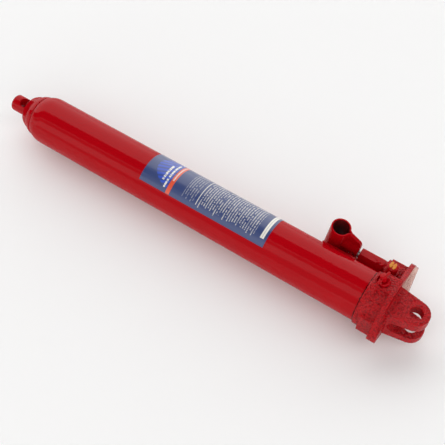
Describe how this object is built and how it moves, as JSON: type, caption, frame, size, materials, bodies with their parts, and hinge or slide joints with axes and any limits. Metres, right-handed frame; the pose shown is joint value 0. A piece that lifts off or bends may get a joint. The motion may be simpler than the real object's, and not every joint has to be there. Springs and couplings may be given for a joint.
{
  "type": "long-stroke hydraulic ram with built-in hand pump",
  "caption": "Red long-stroke hydraulic ram with a forked base clevis, side hand pump with lever socket, release valve, wrapped label and a rod with a cross-pin eye.",
  "frame": {"origin": "on the axis of the base clevis bore, in the middle of the slot between its two ears", "axes": "+X along the ram from the clevis to the rod end, +Z along the clevis and rod-eye bores towards the release valve, hand pump on -Y"},
  "size_m": [0.6515, 0.1225, 0.0895],
  "materials": {
    "red_cast": "gloss enamel over a cast surface",
    "red_paint": "gloss enamel",
    "label_film": null,
    "steel": "machined",
    "ball_steel": "polished",
    "spring_steel": "drawn wire",
    "copper": "soft copper",
    "bronze": "sintered bronze",
    "rubber": "moulded nitrile",
    "seal_plastic": "polyurethane"
  },
  "bodies": {
    "base": {"base_casting": "red_cast", "reservoir_tube": "red_paint", "top_cap": "red_paint", "gland_nut": "red_paint", "pump_barrel": "red_paint", "fulcrum_bracket": "red_paint", "overload_cap": "red_paint", "release_gland": "red_paint", "barrel_set_screw": "red_paint", "barrel_washer": "red_paint", "fulcrum_pin": "red_paint", "fulcrum_pin_clip": "red_paint", "label": "label_film", "pressure_cylinder": "steel", "inlet_seat_plug": "steel", "delivery_plug": "steel", "gallery_plug": "steel", "overload_adjuster": "steel", "inlet_spring": "spring_steel", "delivery_spring": "spring_steel", "overload_spring": "spring_steel", "cylinder_gasket": "copper", "rod_guide_bush": "bronze", "suction_strainer": "bronze", "reservoir_gasket": "rubber", "top_cap_seal": "rubber", "rod_wiper": "rubber", "filler_plug": "rubber", "pump_wiper": "rubber", "rod_seal": "seal_plastic", "pump_seal": "seal_plastic"},
    "ram_seals": {"piston_cup_seal": "seal_plastic", "piston_guide_ring": "seal_plastic"},
    "rod": {"piston_rod": "red_paint", "piston": "steel", "piston_washer": "steel", "piston_nut": "steel"},
    "handle": {"handle_socket": "red_paint"},
    "plunger": {"pump_plunger": "steel", "plunger_pin": "red_paint", "plunger_pin_clip": "red_paint"},
    "release_lift": {"release_ball": "ball_steel", "release_o_ring": "rubber"},
    "release_turn": {"release_screw": "red_paint", "release_tommy_bar": "red_paint"},
    "inlet_ball": {"inlet_ball": "ball_steel"},
    "delivery_ball": {"delivery_ball": "ball_steel"},
    "overload_ball": {"overload_ball": "ball_steel"}
  },
  "joints": [
    {"name": "rod_slide", "type": "slide", "parent": "base", "child": "ram_seals", "axis": [1, 0, 0], "range_m": [0, 0.475]},
    {"name": "rod_spin", "type": "hinge", "parent": "ram_seals", "child": "rod", "pos_m": [0.3, 0, 0], "axis": [1, 0, 0], "continuous": true},
    {"name": "handle_pivot", "type": "hinge", "parent": "base", "child": "handle", "pos_m": [0.113, -0.0504, -0.022], "axis": [0, 1, 0], "range_deg": [-4, 30]},
    {"name": "plunger_slide", "type": "slide", "parent": "base", "child": "plunger", "axis": [1, 0, 0], "range_m": [-0.0016, 0.0119]},
    {"name": "release_lift", "type": "slide", "parent": "base", "child": "release_lift", "axis": [0.342, 0, 0.9397], "range_m": [0, 0.00125]},
    {"name": "release_turn", "type": "hinge", "parent": "release_lift", "child": "release_turn", "pos_m": [0.05274, -0.0085, 0.04452], "axis": [0.342, 0, 0.9397], "range_deg": [0, 360]},
    {"name": "inlet_ball_lift", "type": "slide", "parent": "base", "child": "inlet_ball", "axis": [0, 0, 1], "range_m": [0, 0.0012], "stiffness_N_per_m": 150, "springref_m": -0.001, "deforming": ["inlet_spring"]},
    {"name": "delivery_ball_lift", "type": "slide", "parent": "base", "child": "delivery_ball", "axis": [0, 0, -1], "range_m": [0, 0.0012], "stiffness_N_per_m": 150, "springref_m": -0.001, "deforming": ["delivery_spring"]},
    {"name": "overload_ball_lift", "type": "slide", "parent": "base", "child": "overload_ball", "axis": [0, 0, 1], "range_m": [0, 0.0012], "stiffness_N_per_m": 1500, "springref_m": -0.003, "deforming": ["overload_spring"]}
  ],
  "couplings": [
    {"joint": "plunger_slide", "follows": "handle_pivot", "m_per_rad": 0.0226},
    {"joint": "release_turn", "follows": "release_lift", "rad_per_m": 5026.5}
  ]
}
